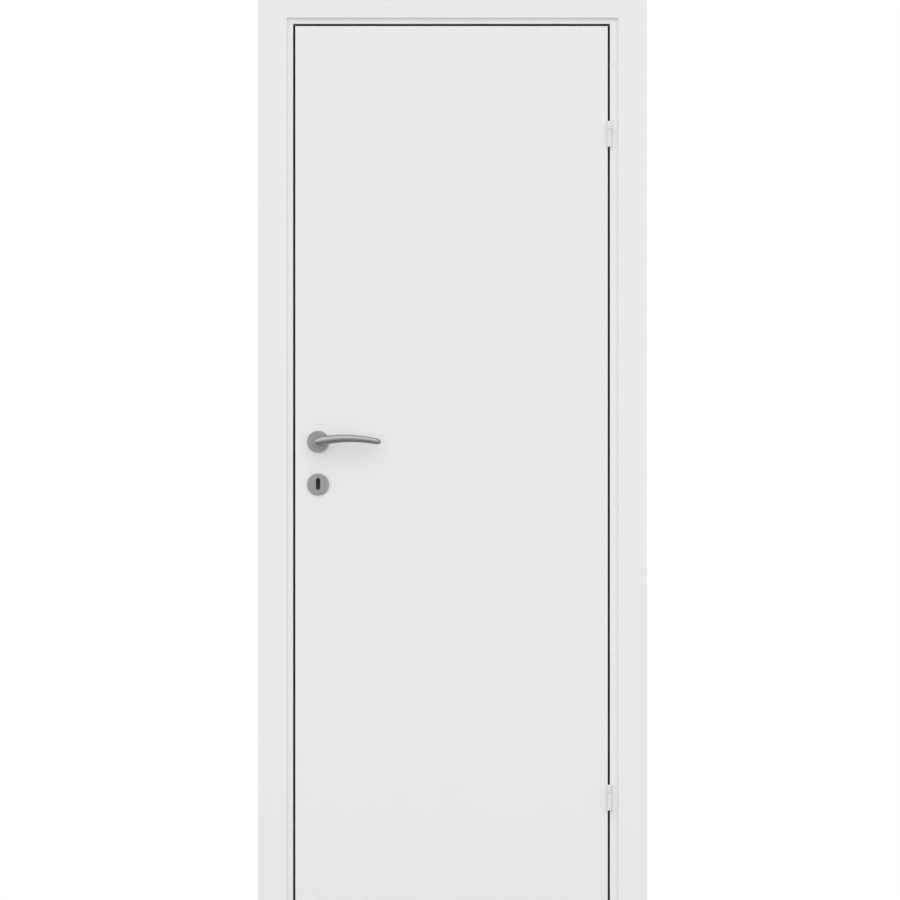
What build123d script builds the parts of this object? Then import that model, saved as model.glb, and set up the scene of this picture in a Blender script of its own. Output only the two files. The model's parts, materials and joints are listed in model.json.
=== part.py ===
"""A flush cellar door in its frame, with casings, lift-off hinges, lever handles and a mortise lock.

Millimetres. X runs to the hinge side, Y from the front face to the back, Z up.
The origin is on the underside of the threshold, in the middle of the frame.
"""
from build123d import *
from math import asin, atan, cos, degrees, radians, sin, tan
import os

# Door leaf
leaf_width = 725.0
leaf_height = 2040.0
leaf_thickness = 40.0
face_sheet = 3.2
hinge_stile_width = 60.0
lock_stile_width = 118.0
rail_width = 70.0
lock_edge_bevel = 1.7
leaf_arris = 1.0

# Frame
leaf_gap = 5.0
frame_depth = 115.0
jamb_face = 27.5
stop_depth = 17.0
stop_gap = 5.0
frame_arris = 1.5
stop_arris = 2.5
threshold_height = 12.5
threshold_chamfer = 3.0
frame_screw_radius = 4.25
frame_screw_inset = 22.0
frame_screw_end = 130.0

# Rubber seal in the corner of the rebate
seal_width = 9.0
seal_clearance = 0.5
seal_side_clearance = 0.3
seal_rounding = 2.0
seal_tongue_width = 3.0
seal_tongue_depth = 6.0
seal_tongue_inset = 4.0

# Casings
casing_width = 67.0
casing_thickness = 8.0
casing_inner_rounding = 2.0
casing_outer_rounding = 2.0
lock_reveal = 14.0
hinge_reveal = 18.7
head_reveal = 13.5
back_reveal = 12.0

# Lift-off hinges
hinge_inset = 250.0
hinge_barrel_radius = 5.5
hinge_barrel_length = 60.0
hinge_axis_offset = 7.5
hinge_axis_shift = 1.0
leaf_knuckle_length = 19.0
knuckle_clearance = 0.5
knuckle_rounding = 2.0
hinge_plate_thickness = 2.5
hinge_plate_depth = 32.0
hinge_plate_corner = 5.0
hinge_pin_radius = 3.0
pin_seat_clearance = 0.02
pin_running_clearance = 0.08
knuckle_cap = 4.0

# Lever handles and key plates
backset = 53.0
spindle_height = 1076.0
key_plate_drop = 99.0
rose_radius = 25.3
rose_thickness = 5.0
rose_rounding = 1.5
neck_radius = 7.5
neck_clearance = 0.3
neck_lift = 1.0
lever_standoff = 48.0
neck_flare_length = 13.0
neck_flare = 4.0
neck_flare_lift = 0.9
lever_reach = 146.2
lever_nose_reach = 9.0
lever_nose_length = 3.0
lever_nose_height = 15.0
lever_swell_length = 16.0
lever_tip_length = 12.0
lever_crest_reach = 68.2
lever_pitch = 11.5
lever_root_lift = 0.35
lever_root_height = 21.0
lever_tip_height = 14.2
lever_root_depth = 14.0
lever_tip_depth = 10.0
spindle_side = 8.0
spindle_reach = 24.0
spindle_hole_radius = 10.0
key_slot_width = 10.3
key_slot_height = 27.8
key_slot_lift = 0.9
key_slot_clearance = 0.4

# Mortise lock and strike plate
lock_case_thickness = 15.0
lock_case_height = 190.0
lock_case_depth = 86.0
lock_case_clearance = 0.5
lock_case_drop = 50.0
follower_radius = 6.6
keyway_width = 4.0
keyway_height = 17.0
keyway_depth = 5.0
forend_length = 236.0
forend_width = 22.0
forend_thickness = 3.0
latch_width = 12.0
latch_height = 32.0
latch_nose = 3.0
latch_bevel_depth = 9.0
dead_bolt_width = 11.0
dead_bolt_height = 36.0
bolt_length = 30.0
bolt_clearance = 0.3
bolt_setback = 0.3
strike_length = 210.0
strike_width = 26.0
strike_thickness = 2.0
strike_corner = 6.0
strike_hole_margin = 2.0
strike_pocket_depth = 16.0

# Places worked out from the sizes above
front_y = -frame_depth / 2
back_y = frame_depth / 2
leaf_back_y = front_y + leaf_thickness
leaf_mid_y = front_y + leaf_thickness / 2
stop_y = leaf_back_y + stop_gap
leaf_edge_x = leaf_width / 2
rebate_x = leaf_edge_x + leaf_gap
outer_x = rebate_x + jamb_face
stop_x = rebate_x - stop_depth
leaf_bottom_z = threshold_height + leaf_gap
leaf_top_z = leaf_bottom_z + leaf_height
rebate_z = leaf_top_z + leaf_gap
frame_top_z = rebate_z + jamb_face
stop_z = rebate_z - stop_depth
hinge_x = leaf_edge_x + leaf_gap / 2 + hinge_axis_shift
hinge_y = front_y - hinge_axis_offset
spindle_x = -leaf_edge_x + backset
spindle_z = leaf_bottom_z + spindle_height
key_plate_z = spindle_z - key_plate_drop
key_slot_z = key_plate_z + key_slot_lift
arc_radius = lever_crest_reach / sin(radians(lever_pitch))
lock_mid_z = spindle_z - lock_case_drop
lock_edge_angle = degrees(atan(lock_edge_bevel / leaf_thickness))
lock_edge = Plane(
    origin=(-leaf_edge_x + lock_edge_bevel / 2, leaf_mid_y, lock_mid_z),
    x_dir=(0, 0, 1),
    z_dir=(-cos(radians(lock_edge_angle)), sin(radians(lock_edge_angle)), 0),
)
leaf_middle = Plane(origin=(0, leaf_mid_y, 0), z_dir=(0, 1, 0))


def block(x_span, y_span, z_span):
    """A plain block between two places along each axis."""
    sizes = [high - low for low, high in (x_span, y_span, z_span)]
    middle = [(high + low) / 2 for low, high in (x_span, y_span, z_span)]
    return Pos(*middle) * Box(*sizes)


def rounded_profile(points, roundings):
    """A closed flat outline with some of its corners rounded: roundings maps a point to a radius."""
    outline = make_face(Polyline(*points, close=True))
    for point, radius in roundings.items():
        outline = fillet(outline.vertices().sort_by_distance(Vector(*point))[0], radius)
    return outline


def along_y(flat, y_from, y_to, x, z):
    """A flat shape drawn in X and Z, pushed from one depth to another."""
    facing = Plane(origin=(x, y_from, z), x_dir=(1, 0, 0), z_dir=(0, -1, 0))
    return facing * extrude(flat, -(y_to - y_from))


# Frame members

def seal_groove(corner, inward):
    """The outline of the seal's groove in a stop face, in a plane of (across the stop, depth)."""
    start = corner + inward * seal_tongue_inset
    end = start + inward * seal_tongue_width
    return min(start, end), max(start, end)


def frame_screw_heights():
    """The heights of a jamb's screw holes: one near each end, and two that divide the rest in three."""
    spacing = (frame_top_z - 2 * frame_screw_end) / 3
    return [frame_screw_end + step * spacing for step in range(4)]


def jamb():
    """The hinge side's upright with rebate, stop, seal groove and screw holes, square beside the head."""
    profile = rounded_profile(
        [(stop_x, stop_y), (rebate_x, stop_y), (rebate_x, front_y), (outer_x, front_y), (outer_x, back_y),
         (stop_x, back_y)],
        {(rebate_x, front_y): frame_arris, (stop_x, stop_y): stop_arris, (stop_x, back_y): stop_arris},
    )
    upright = extrude(profile, frame_top_z)
    corner = (rebate_x, rebate_x + frame_arris), (front_y, front_y + frame_arris), (rebate_z, frame_top_z)
    upright += block(*corner)
    groove = seal_groove(rebate_x, -1)
    upright -= block(groove, (stop_y, stop_y + seal_tongue_depth), (threshold_height, rebate_z))
    for height in frame_screw_heights():
        bore = Cylinder(frame_screw_radius, jamb_face, rotation=(0, 90, 0))
        upright -= Pos(rebate_x + jamb_face / 2, front_y + frame_screw_inset, height) * bore
    return upright


def head():
    """The top member: its rebated front reaches the jambs' rebates and its stop fits between their stops."""
    front = rounded_profile(
        [(front_y, rebate_z), (stop_y, rebate_z), (stop_y, frame_top_z), (front_y, frame_top_z)],
        {(front_y, rebate_z): frame_arris},
    )
    stop = rounded_profile(
        [(stop_y, stop_z), (back_y, stop_z), (back_y, frame_top_z), (stop_y, frame_top_z)],
        {(stop_y, stop_z): stop_arris, (back_y, stop_z): stop_arris},
    )
    member = Plane.YZ * extrude(front, rebate_x, both=True) + Plane.YZ * extrude(stop, stop_x, both=True)
    groove = seal_groove(rebate_z, -1)
    return member - block((-stop_x, stop_x), (stop_y, stop_y + seal_tongue_depth), groove)


def threshold():
    """The low sill between the jambs, chamfered where feet cross it."""
    front = block((-rebate_x, rebate_x), (front_y, stop_y), (0, threshold_height))
    back = block((-stop_x, stop_x), (stop_y, back_y), (0, threshold_height))
    sill = front + back
    top_edges = sill.edges().filter_by(Axis.X).group_by(Axis.Z)[-1]
    return chamfer([top_edges.sort_by(Axis.Y)[0], top_edges.sort_by(Axis.Y)[-1]], threshold_chamfer)


def seal_profile(corner):
    """The seal's section: a rounded pad on the stop face and a tongue for the groove, as (across, depth)."""
    outer = corner - seal_side_clearance
    inner = corner - seal_width
    crown = stop_y - stop_gap + seal_clearance
    groove = seal_groove(corner, -1)
    pad = rounded_profile(
        [(outer, crown), (inner, crown), (inner, stop_y), (outer, stop_y)],
        {(outer, crown): seal_rounding, (inner, crown): seal_rounding},
    )
    tongue = make_face(Polyline(
        (groove[0], stop_y), (groove[1], stop_y), (groove[1], stop_y + seal_tongue_depth),
        (groove[0], stop_y + seal_tongue_depth), close=True,
    ))
    return pad, tongue


def side_seal():
    """The hinge side's seal, from the threshold to the underside of the head's seal."""
    pad, tongue = seal_profile(rebate_x)
    length = rebate_z - seal_width - threshold_height
    return Pos(0, 0, threshold_height) * (extrude(pad, length) + extrude(tongue, length))


def head_seal():
    """The head's seal, the full width of the rebate, with a tongue as long as the head's groove."""
    pad, tongue = seal_profile(rebate_z)
    upright = Plane(origin=(0, 0, 0), x_dir=(0, 0, 1), z_dir=(-1, 0, 0))
    reach = rebate_x - seal_side_clearance
    return upright * extrude(pad, reach, both=True) + upright * extrude(tongue, stop_x, both=True)


# Casings

def casing_outline(inner, outer, face, front):
    """A casing's section: flat, with its outer face rounded more on the side of the opening."""
    return rounded_profile(
        [(inner, face), (outer, face), (outer, front), (inner, front)],
        {(inner, front): casing_inner_rounding, (outer, front): casing_outer_rounding},
    )


def side_casing(side, inner_x, head_z, face, front):
    """An upright casing on one side, mitred at the top."""
    outer_edge = inner_x + casing_width
    strip = extrude(casing_outline(inner_x, outer_edge, face, front), head_z + casing_width)
    mitre = Plane(origin=(inner_x, 0, head_z), z_dir=(-1, 0, 1))
    strip = split(strip, bisect_by=mitre, keep=Keep.BOTTOM)
    return strip if side > 0 else mirror(strip, about=Plane.YZ)


def head_casing(lock_x, hinge_x_inner, head_z, face, front):
    """The casing over the head, mitred at both ends."""
    upright = Plane(origin=(0, 0, 0), x_dir=(0, 0, 1), z_dir=(-1, 0, 0))
    strip = upright * extrude(
        casing_outline(head_z, head_z + casing_width, face, front), 2 * outer_x + casing_width, both=True
    )
    strip = split(strip, bisect_by=Plane(origin=(hinge_x_inner, 0, head_z), z_dir=(-1, 0, 1)), keep=Keep.TOP)
    return split(strip, bisect_by=Plane(origin=(-lock_x, 0, head_z), z_dir=(1, 0, 1)), keep=Keep.TOP)


def casing_set(place, lock_x, hinge_x_inner, head_z, face, front):
    """The three casings of one side of the wall."""
    return {
        f"{place}_lock_casing": side_casing(-1, lock_x, head_z, face, front),
        f"{place}_hinge_casing": side_casing(1, hinge_x_inner, head_z, face, front),
        f"{place}_head_casing": head_casing(lock_x, hinge_x_inner, head_z, face, front),
    }


# Hinges

def hinge_plate(x_span, middle_z):
    """A hinge half's flat plate, in the gap between leaf and jamb, rounded at its inner corners."""
    low_z = middle_z - hinge_barrel_length / 2
    plate = block(x_span, (front_y, front_y + hinge_plate_depth), (low_z, low_z + hinge_barrel_length))
    corners = plate.edges().filter_by(Axis.X).group_by(Axis.Y)[-1]
    return fillet(corners, hinge_plate_corner)


def knuckle(low_z, high_z, rounded_end):
    """A length of the hinge barrel, with its free end rounded."""
    barrel = Pos(hinge_x, hinge_y, (low_z + high_z) / 2) * Cylinder(hinge_barrel_radius, high_z - low_z)
    ends = barrel.edges().filter_by(GeomType.CIRCLE).sort_by(Axis.Z)
    return fillet(ends[rounded_end], knuckle_rounding)


def hinge_bore(radius, low_z, high_z):
    """A round space or pin on the hinge axis."""
    return Pos(hinge_x, hinge_y, (low_z + high_z) / 2) * Cylinder(radius, high_z - low_z)


def hinge(middle_z):
    """One lift-off hinge: the leaf's half, the frame's half below it and the pin that joins them."""
    low_z = middle_z - hinge_barrel_length / 2
    high_z = middle_z + hinge_barrel_length / 2
    leaf_low_z = high_z - leaf_knuckle_length
    frame_high_z = leaf_low_z - knuckle_clearance
    leaf_x = (leaf_edge_x - hinge_plate_thickness, leaf_edge_x)
    frame_x = (rebate_x, rebate_x + hinge_plate_thickness)
    tongue_y = (hinge_y, front_y)
    leaf_half = knuckle(leaf_low_z, high_z, -1) + hinge_plate(leaf_x, middle_z)
    leaf_half += block(leaf_x, tongue_y, (leaf_low_z, high_z - knuckle_rounding))
    leaf_half -= hinge_bore(hinge_pin_radius + pin_running_clearance, leaf_low_z, high_z - knuckle_cap)
    frame_half = knuckle(low_z, frame_high_z, 0) + hinge_plate(frame_x, middle_z)
    frame_half += block(frame_x, tongue_y, (low_z + knuckle_rounding, frame_high_z))
    frame_half -= hinge_bore(hinge_pin_radius + pin_seat_clearance, low_z + knuckle_cap, frame_high_z)
    pin = hinge_bore(hinge_pin_radius, low_z + knuckle_cap, high_z - knuckle_cap - knuckle_clearance)
    return leaf_half, frame_half, pin


# Handles, key plates and lock

def disc(x, z, radius, thickness):
    """A round plate on the leaf's front face, rounded at its front edge."""
    plate = along_y(Circle(radius), front_y - thickness, front_y, x, z)
    rim = plate.edges().filter_by(GeomType.CIRCLE).sort_by(Axis.Y)[0]
    return fillet(rim, rose_rounding)


def key_slot(y_from, y_to, clearance):
    """The oblong space that a key passes through."""
    slot = SlotOverall(key_slot_height + 2 * clearance, key_slot_width + 2 * clearance, rotation=90)
    return along_y(slot, y_from, y_to, spindle_x, key_slot_z)


def handle_rose():
    """The front rose, with the hole in which the lever's neck turns."""
    round_hole = Circle(neck_radius + neck_clearance)
    bore = along_y(round_hole, front_y - rose_thickness, front_y, spindle_x, spindle_z)
    return disc(spindle_x, spindle_z, rose_radius, rose_thickness) - bore


def key_plate():
    """The front key plate, with its slot a little above the middle."""
    plate = disc(spindle_x, key_plate_z, rose_radius, rose_thickness)
    return plate - key_slot(front_y - rose_thickness, front_y, 0)


def bar_across(along):
    """The plane across the lever's bar at a place along its arc: X along the lever, Y up, Z out."""
    pitch = radians(lever_pitch)
    heading = pitch - along / arc_radius
    reach = arc_radius * (sin(pitch) - sin(heading))
    rise = lever_root_lift + arc_radius * (cos(heading) - cos(pitch))
    tangent = (cos(heading), sin(heading), 0)
    return Plane(origin=(reach, rise, lever_standoff), x_dir=(0, 0, -1), z_dir=tangent)


def bar_dome(plane, depth, height, length):
    """Half an egg that rounds off an end of the bar."""
    half_ball = Sphere(1, arc_size1=0, arc_size2=90, align=(Align.CENTER, Align.CENTER, Align.MIN))
    return plane * scale(half_ball, by=(depth / 2, height / 2, length))


def lever_neck():
    """The lever's round neck, which widens towards the grip where it runs into the bar."""
    flare_z = lever_standoff - neck_flare_length
    sections = []
    for share in (0.0, 0.3, 0.6, 1.0):
        shift = neck_flare * share ** 2
        outline = Pos(shift, neck_flare_lift * share ** 2) * Ellipse(neck_radius + shift, neck_radius)
        sections.append(Pos(0, 0, flare_z + neck_flare_length * share) * outline)
    straight = Pos(0, 0, neck_lift) * extrude(Circle(neck_radius), flare_z - neck_lift)
    return straight + loft(sections)


def lever():
    """The front lever: a round neck with a square socket, and an oval bar that tapers along an upward arc."""
    pitch = radians(lever_pitch)
    start = lever_nose_length - lever_nose_reach
    end = arc_radius * (pitch - asin(sin(pitch) - (lever_reach - lever_tip_length) / arc_radius))
    sections = []
    for step in range(21):
        share = step / 20
        along = (end - start) * share
        swell = 1 - max(0, 1 - along / lever_swell_length) ** 2
        depth = lever_root_depth + (lever_tip_depth - lever_root_depth) * share
        root_height = lever_nose_height + (lever_root_height - lever_nose_height) * swell
        height = root_height + (lever_tip_height - lever_root_height) * share
        sections.append((bar_across(start + along), depth, height))
    bar = loft([plane * Ellipse(depth / 2, height / 2) for plane, depth, height in sections])
    plane, depth, height = sections[0]
    backwards = Plane(origin=plane.origin, x_dir=plane.x_dir, z_dir=-plane.z_dir)
    bar += bar_dome(backwards, depth, height, lever_nose_length)
    plane, depth, height = sections[-1]
    bar += bar_dome(plane, depth, height, lever_tip_length)
    bar += lever_neck()
    bar -= Pos(0, 0, neck_lift + spindle_reach / 2) * Box(spindle_side, spindle_side, spindle_reach)
    return Plane(origin=(spindle_x, front_y, spindle_z), x_dir=(1, 0, 0), z_dir=(0, -1, 0)) * bar


def spindle():
    """The square bar that joins the two levers through the lock."""
    reach = leaf_thickness / 2 + neck_lift + spindle_reach
    return Pos(spindle_x, leaf_mid_y, spindle_z) * Box(spindle_side, 2 * reach, spindle_side)


def lock_case_front():
    """Where the lock case begins, just behind the slanting forend."""
    angle = radians(lock_edge_angle)
    slant = tan(angle) * lock_case_thickness / 2
    return -leaf_edge_x + lock_edge_bevel / 2 + forend_thickness / cos(angle) + slant


def lock_case_space(x_from, clearance):
    """The space of the lock case from a place on, larger by a clearance."""
    half_thickness = lock_case_thickness / 2 + clearance
    half_height = lock_case_height / 2 + clearance
    return block(
        (x_from, lock_case_front() + lock_case_depth + clearance),
        (leaf_mid_y - half_thickness, leaf_mid_y + half_thickness),
        (lock_mid_z - half_height, lock_mid_z + half_height),
    )


def bolt_block(width, height, z, clearance, x_from, length):
    """A bolt's plain block, or its space, along X."""
    return block(
        (x_from, x_from + length),
        (leaf_mid_y - width / 2 - clearance, leaf_mid_y + width / 2 + clearance),
        (z - height / 2 - clearance, z + height / 2 + clearance),
    )


def latch_block(clearance, x_from, length):
    """The latch bolt's plain block, or its space."""
    return bolt_block(latch_width, latch_height, spindle_z, clearance, x_from, length)


def dead_bolt_block(clearance, x_from, length):
    """The dead bolt's plain block, or its space."""
    return bolt_block(dead_bolt_width, dead_bolt_height, key_slot_z, clearance, x_from, length)


def lock_case():
    """The steel lock case with its follower hole, blind keyways and the two bolts' channels."""
    front = lock_case_front()
    case = lock_case_space(front, 0)
    half = lock_case_thickness / 2
    case -= along_y(Circle(follower_radius), leaf_mid_y - half, leaf_mid_y + half, spindle_x, spindle_z)
    keyway = SlotOverall(keyway_height, keyway_width, rotation=90)
    case -= along_y(keyway, leaf_mid_y - half, leaf_mid_y - half + keyway_depth, spindle_x, key_slot_z)
    case -= along_y(keyway, leaf_mid_y + half - keyway_depth, leaf_mid_y + half, spindle_x, key_slot_z)
    case -= latch_block(bolt_clearance, front, bolt_length)
    return case - dead_bolt_block(bolt_clearance, front, bolt_length)


def bolt_tip():
    """Where the drawn-back bolts end, just inside the forend's outer face."""
    slant = sin(radians(lock_edge_angle)) * latch_width / 2
    return -leaf_edge_x + lock_edge_bevel / 2 + slant + bolt_setback


def latch_bolt():
    """The drawn-back spring latch, slanted on the side that meets the strike plate."""
    tip = bolt_tip()
    bolt = latch_block(0, tip, lock_case_front() + bolt_length - tip)
    slant = make_face(Polyline(
        (tip, leaf_mid_y - latch_width / 2 + latch_nose), (tip, leaf_mid_y + latch_width / 2),
        (tip + latch_bevel_depth, leaf_mid_y + latch_width / 2), close=True,
    ))
    return bolt - Pos(0, 0, spindle_z - latch_height / 2) * extrude(slant, latch_height)


def dead_bolt():
    """The drawn-back dead bolt."""
    tip = bolt_tip()
    return dead_bolt_block(0, tip, lock_case_front() + bolt_length - tip)


def lock_forend():
    """The lock's face plate, let into the leaf's bevelled edge, with the bolts' openings."""
    plate = lock_edge * extrude(SlotOverall(forend_length, forend_width), -forend_thickness)
    through = -leaf_edge_x - forend_thickness
    plate -= latch_block(bolt_clearance, through, bolt_length)
    return plate - dead_bolt_block(bolt_clearance, through, bolt_length)


def strike_outline():
    """The strike plate's outline on the lock jamb's rebate, seen from the opening."""
    facing = Plane(origin=(-rebate_x, leaf_mid_y, lock_mid_z), x_dir=(0, 0, 1), z_dir=(1, 0, 0))
    return facing * extrude(RectangleRounded(strike_length, strike_width, strike_corner), -strike_thickness)


def strike_holes(depth):
    """The two spaces in the lock jamb that the bolts go into."""
    bottom = -rebate_x - depth
    return latch_block(strike_hole_margin, bottom, depth) + dead_bolt_block(strike_hole_margin, bottom, depth)


# Leaf

def leaf_blank():
    """The whole leaf's space, narrower at the back of its lock edge, to clear the jamb as it swings."""
    plan = make_face(Polyline(
        (-leaf_edge_x, front_y), (leaf_edge_x, front_y), (leaf_edge_x, leaf_back_y),
        (-leaf_edge_x + lock_edge_bevel, leaf_back_y), close=True,
    ))
    return Pos(0, 0, leaf_bottom_z) * extrude(plan, leaf_height)


def leaf_slice(x_span, y_span, z_span):
    """The part of the leaf's space between some places."""
    return leaf_blank() & block(x_span, y_span, z_span)


def face_panel(y_span, outer_end, hinge_plates, holes):
    """A hardboard face sheet, with its outer edges eased, notched for the hinges and drilled for the lock."""
    sheet = leaf_slice((-leaf_edge_x, leaf_edge_x), y_span, (leaf_bottom_z, leaf_top_z))
    rim = sheet.faces().sort_by(Axis.Y)[outer_end].edges()
    sheet = fillet(rim, leaf_arris)
    for cutter in hinge_plates + holes:
        sheet -= cutter
    return sheet


def leaf_parts(hinge_plates):
    """The leaf's face sheets, stiles, rails and core."""
    core_y = (front_y + face_sheet, leaf_back_y - face_sheet)
    lock_inner = -leaf_edge_x + lock_stile_width
    hinge_inner = leaf_edge_x - hinge_stile_width
    bottom_rail_top = leaf_bottom_z + rail_width
    top_rail_bottom = leaf_top_z - rail_width
    spindle_hole = along_y(Circle(spindle_hole_radius), front_y, leaf_back_y, spindle_x, spindle_z)
    holes = [spindle_hole, key_slot(front_y, leaf_back_y, key_slot_clearance)]

    lock_stile = leaf_slice((-leaf_edge_x, lock_inner), core_y, (leaf_bottom_z, leaf_top_z))
    forend_space = lock_edge * extrude(SlotOverall(forend_length, forend_width), -forend_thickness)
    for cutter in [lock_case_space(-leaf_edge_x, lock_case_clearance), forend_space] + holes:
        lock_stile -= cutter
    hinge_stile = leaf_slice((hinge_inner, leaf_edge_x), core_y, (leaf_bottom_z, leaf_top_z))
    for cutter in hinge_plates:
        hinge_stile -= cutter
    return {
        "front_face_panel": face_panel((front_y, front_y + face_sheet), 0, hinge_plates, holes),
        "back_face_panel": face_panel((leaf_back_y - face_sheet, leaf_back_y), -1, [], holes),
        "lock_stile": lock_stile,
        "hinge_stile": hinge_stile,
        "bottom_rail": leaf_slice((lock_inner, hinge_inner), core_y, (leaf_bottom_z, bottom_rail_top)),
        "top_rail": leaf_slice((lock_inner, hinge_inner), core_y, (top_rail_bottom, leaf_top_z)),
        "leaf_core": leaf_slice((lock_inner, hinge_inner), core_y, (bottom_rail_top, top_rail_bottom)),
    }


def hinge_parts():
    """Both hinges, and the plates' shapes that the leaf and the jamb are cut for."""
    parts, leaf_plates, frame_plates = {}, [], []
    places = {"lower": leaf_bottom_z + hinge_inset, "upper": leaf_top_z - hinge_inset}
    for name, middle_z in places.items():
        leaf_half, frame_half, pin = hinge(middle_z)
        parts[f"{name}_hinge_leaf_half"] = leaf_half
        parts[f"{name}_hinge_frame_half"] = frame_half
        parts[f"{name}_hinge_pin"] = pin
        leaf_plates.append(hinge_plate((leaf_edge_x - hinge_plate_thickness, leaf_edge_x), middle_z))
        frame_plates.append(hinge_plate((rebate_x, rebate_x + hinge_plate_thickness), middle_z))
    return parts, leaf_plates, frame_plates


def frame_parts(frame_plates):
    """The frame's members, seals and strike plate."""
    hinge_jamb = jamb()
    lock_jamb = mirror(hinge_jamb, about=Plane.YZ)
    for plate in frame_plates:
        hinge_jamb -= plate
    strike = strike_outline()
    lock_jamb = lock_jamb - strike - strike_holes(strike_pocket_depth)
    hinge_seal = side_seal()
    return {
        "hinge_jamb": hinge_jamb,
        "lock_jamb": lock_jamb,
        "head_jamb": head(),
        "threshold": threshold(),
        "hinge_side_seal": hinge_seal,
        "lock_side_seal": mirror(hinge_seal, about=Plane.YZ),
        "head_seal": head_seal(),
        "strike_plate": strike - strike_holes(strike_thickness),
    }


def handle_parts():
    """The levers, roses and key plates of both faces, with the spindle and the lock."""
    front = {"lever": lever(), "handle_rose": handle_rose(), "key_plate": key_plate()}
    parts = {f"front_{name}": shape for name, shape in front.items()}
    parts.update({f"back_{name}": mirror(shape, about=leaf_middle) for name, shape in front.items()})
    parts["spindle"] = spindle()
    parts["lock_case"] = lock_case()
    parts["lock_forend"] = lock_forend()
    parts["latch_bolt"] = latch_bolt()
    parts["dead_bolt"] = dead_bolt()
    return parts


def door():
    """Every piece of the door by name."""
    hinges, leaf_plates, frame_plates = hinge_parts()
    parts = {**frame_parts(frame_plates), **hinges, **leaf_parts(leaf_plates), **handle_parts()}
    parts.update(casing_set(
        "front", rebate_x + lock_reveal, rebate_x + hinge_reveal, rebate_z + head_reveal,
        front_y, front_y - casing_thickness,
    ))
    parts.update(casing_set(
        "back", stop_x + back_reveal, stop_x + back_reveal, stop_z + back_reveal,
        back_y, back_y + casing_thickness,
    ))
    return parts


os.makedirs("parts", exist_ok=True)
for part_name, shape in door().items():
    export_step(shape, f"parts/{part_name}.step")
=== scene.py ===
"""Cellar door: the finishes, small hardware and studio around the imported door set, in metres."""

import json
import logging
import math
from dataclasses import dataclass, replace
from enum import Enum
from typing import Any, Iterable, Mapping, Sequence

import bpy
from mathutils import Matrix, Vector

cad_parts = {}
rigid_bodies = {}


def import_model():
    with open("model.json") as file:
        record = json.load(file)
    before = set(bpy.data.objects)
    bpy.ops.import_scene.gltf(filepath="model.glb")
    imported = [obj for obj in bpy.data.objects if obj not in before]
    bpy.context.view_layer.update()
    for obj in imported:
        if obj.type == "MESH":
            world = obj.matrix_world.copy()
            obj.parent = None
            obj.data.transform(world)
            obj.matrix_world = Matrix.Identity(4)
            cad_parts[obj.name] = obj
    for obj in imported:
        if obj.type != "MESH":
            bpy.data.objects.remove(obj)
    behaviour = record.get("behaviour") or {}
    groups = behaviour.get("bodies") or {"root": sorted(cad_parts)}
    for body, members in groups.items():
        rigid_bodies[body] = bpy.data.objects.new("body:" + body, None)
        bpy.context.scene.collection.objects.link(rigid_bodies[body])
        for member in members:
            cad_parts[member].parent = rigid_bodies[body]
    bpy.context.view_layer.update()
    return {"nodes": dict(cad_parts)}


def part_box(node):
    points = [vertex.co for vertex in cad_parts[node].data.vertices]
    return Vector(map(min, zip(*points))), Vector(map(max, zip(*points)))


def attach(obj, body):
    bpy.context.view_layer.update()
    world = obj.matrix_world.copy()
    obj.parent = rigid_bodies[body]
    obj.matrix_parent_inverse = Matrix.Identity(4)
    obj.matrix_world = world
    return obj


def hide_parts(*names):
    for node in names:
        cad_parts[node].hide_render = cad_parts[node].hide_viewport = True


Colour = tuple[float, float, float]
Triple = tuple[float, float, float]
Place = tuple[Vector, Vector]
Nodes = Mapping[str, bpy.types.Object]

MM = 0.001
HALF = 0.5
WHITE = (1.0, 1.0, 1.0, 1.0)
FACING = "facing"
LOG = logging.getLogger("cellar_door")


class Body(Enum):
    """The rigid bodies that pieces ride on."""

    FRAME = "frame"
    LEAF = "leaf"
    HANDLE = "handle"


class Slot(Enum):
    """Names of the record's material slots that match the new pieces' finishes."""

    RUBBER = "seal_rubber"
    ZINC = "zinc_steel"


class Recess(Enum):
    """The kinds of driver recess in a screw head."""

    CROSS = "cross"
    HEXAGON = "hexagon"


class Grain(Enum):
    """The direction in which satin steel was brushed, as noise cells per metre along X, Y and Z."""

    ALONG_BAR = (16.0, 900.0, 900.0)
    UPRIGHT = (1100.0, 1100.0, 14.0)


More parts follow.
